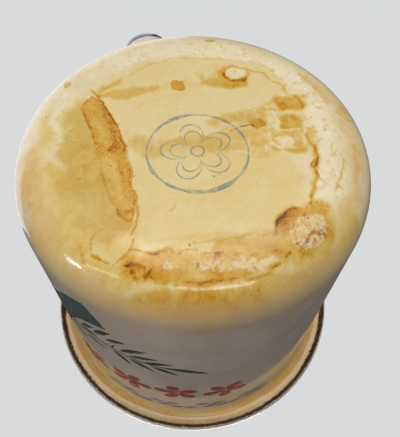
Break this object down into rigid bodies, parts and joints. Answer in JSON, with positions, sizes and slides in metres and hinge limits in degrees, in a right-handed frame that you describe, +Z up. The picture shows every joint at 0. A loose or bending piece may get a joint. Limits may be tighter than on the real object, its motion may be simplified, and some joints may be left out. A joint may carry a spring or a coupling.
{
  "type": "enamel mug",
  "caption": "Straight-walled enamelled steel mug with a large rounded base edge, a flared rolled rim and a half-round strap handle, for holding drinks or small vanity items.",
  "frame": {"origin": "middle of the flat underside of the base, on the axis of the body", "axes": "+Z up along the body's axis towards the open mouth, +X out through the middle of the handle"},
  "size_m": [0.1222, 0.1004, 0.088],
  "materials": {
    "cup_enamel": "glossy vitreous enamel, aged and water-stained, rust showing where the rim is chipped",
    "handle_enamel": "glossy white vitreous enamel with a navy painted outer face",
    "weld_enamel": "enamelled over, slightly dimpled"
  },
  "bodies": {
    "root": {"cup_shell": "cup_enamel", "handle_strap": "handle_enamel", "weld_upper_left": "weld_enamel", "weld_upper_right": "weld_enamel", "weld_lower_left": "weld_enamel", "weld_lower_right": "weld_enamel"}
  },
  "joints": []
}
